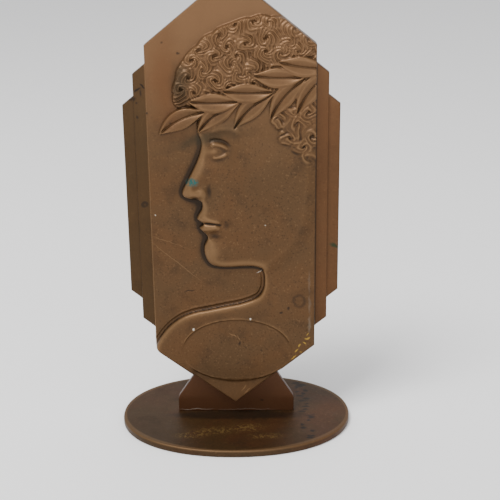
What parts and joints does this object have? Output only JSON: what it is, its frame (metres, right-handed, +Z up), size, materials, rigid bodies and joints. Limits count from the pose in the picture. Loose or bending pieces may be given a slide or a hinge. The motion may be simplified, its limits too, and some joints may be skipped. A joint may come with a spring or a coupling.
{
  "type": "standing relief plaque",
  "caption": "Cast bronze plaque with a laurelled head in profile in low relief, stepped wings at its sides, standing on a web and an oval foot plate.",
  "frame": {"origin": "centre of the foot plate's underside", "axes": "+Z up; the relief faces -Y; +X to the viewer's right"},
  "size_m": [0.1052, 0.077, 0.2025],
  "materials": {
    "plaque_bronze": "satin brown patina, darker in the recesses",
    "base_bronze": "dull dark brown patina with worn edges"
  },
  "bodies": {
    "root": {"plaque": "plaque_bronze", "base": "base_bronze"}
  },
  "joints": []
}
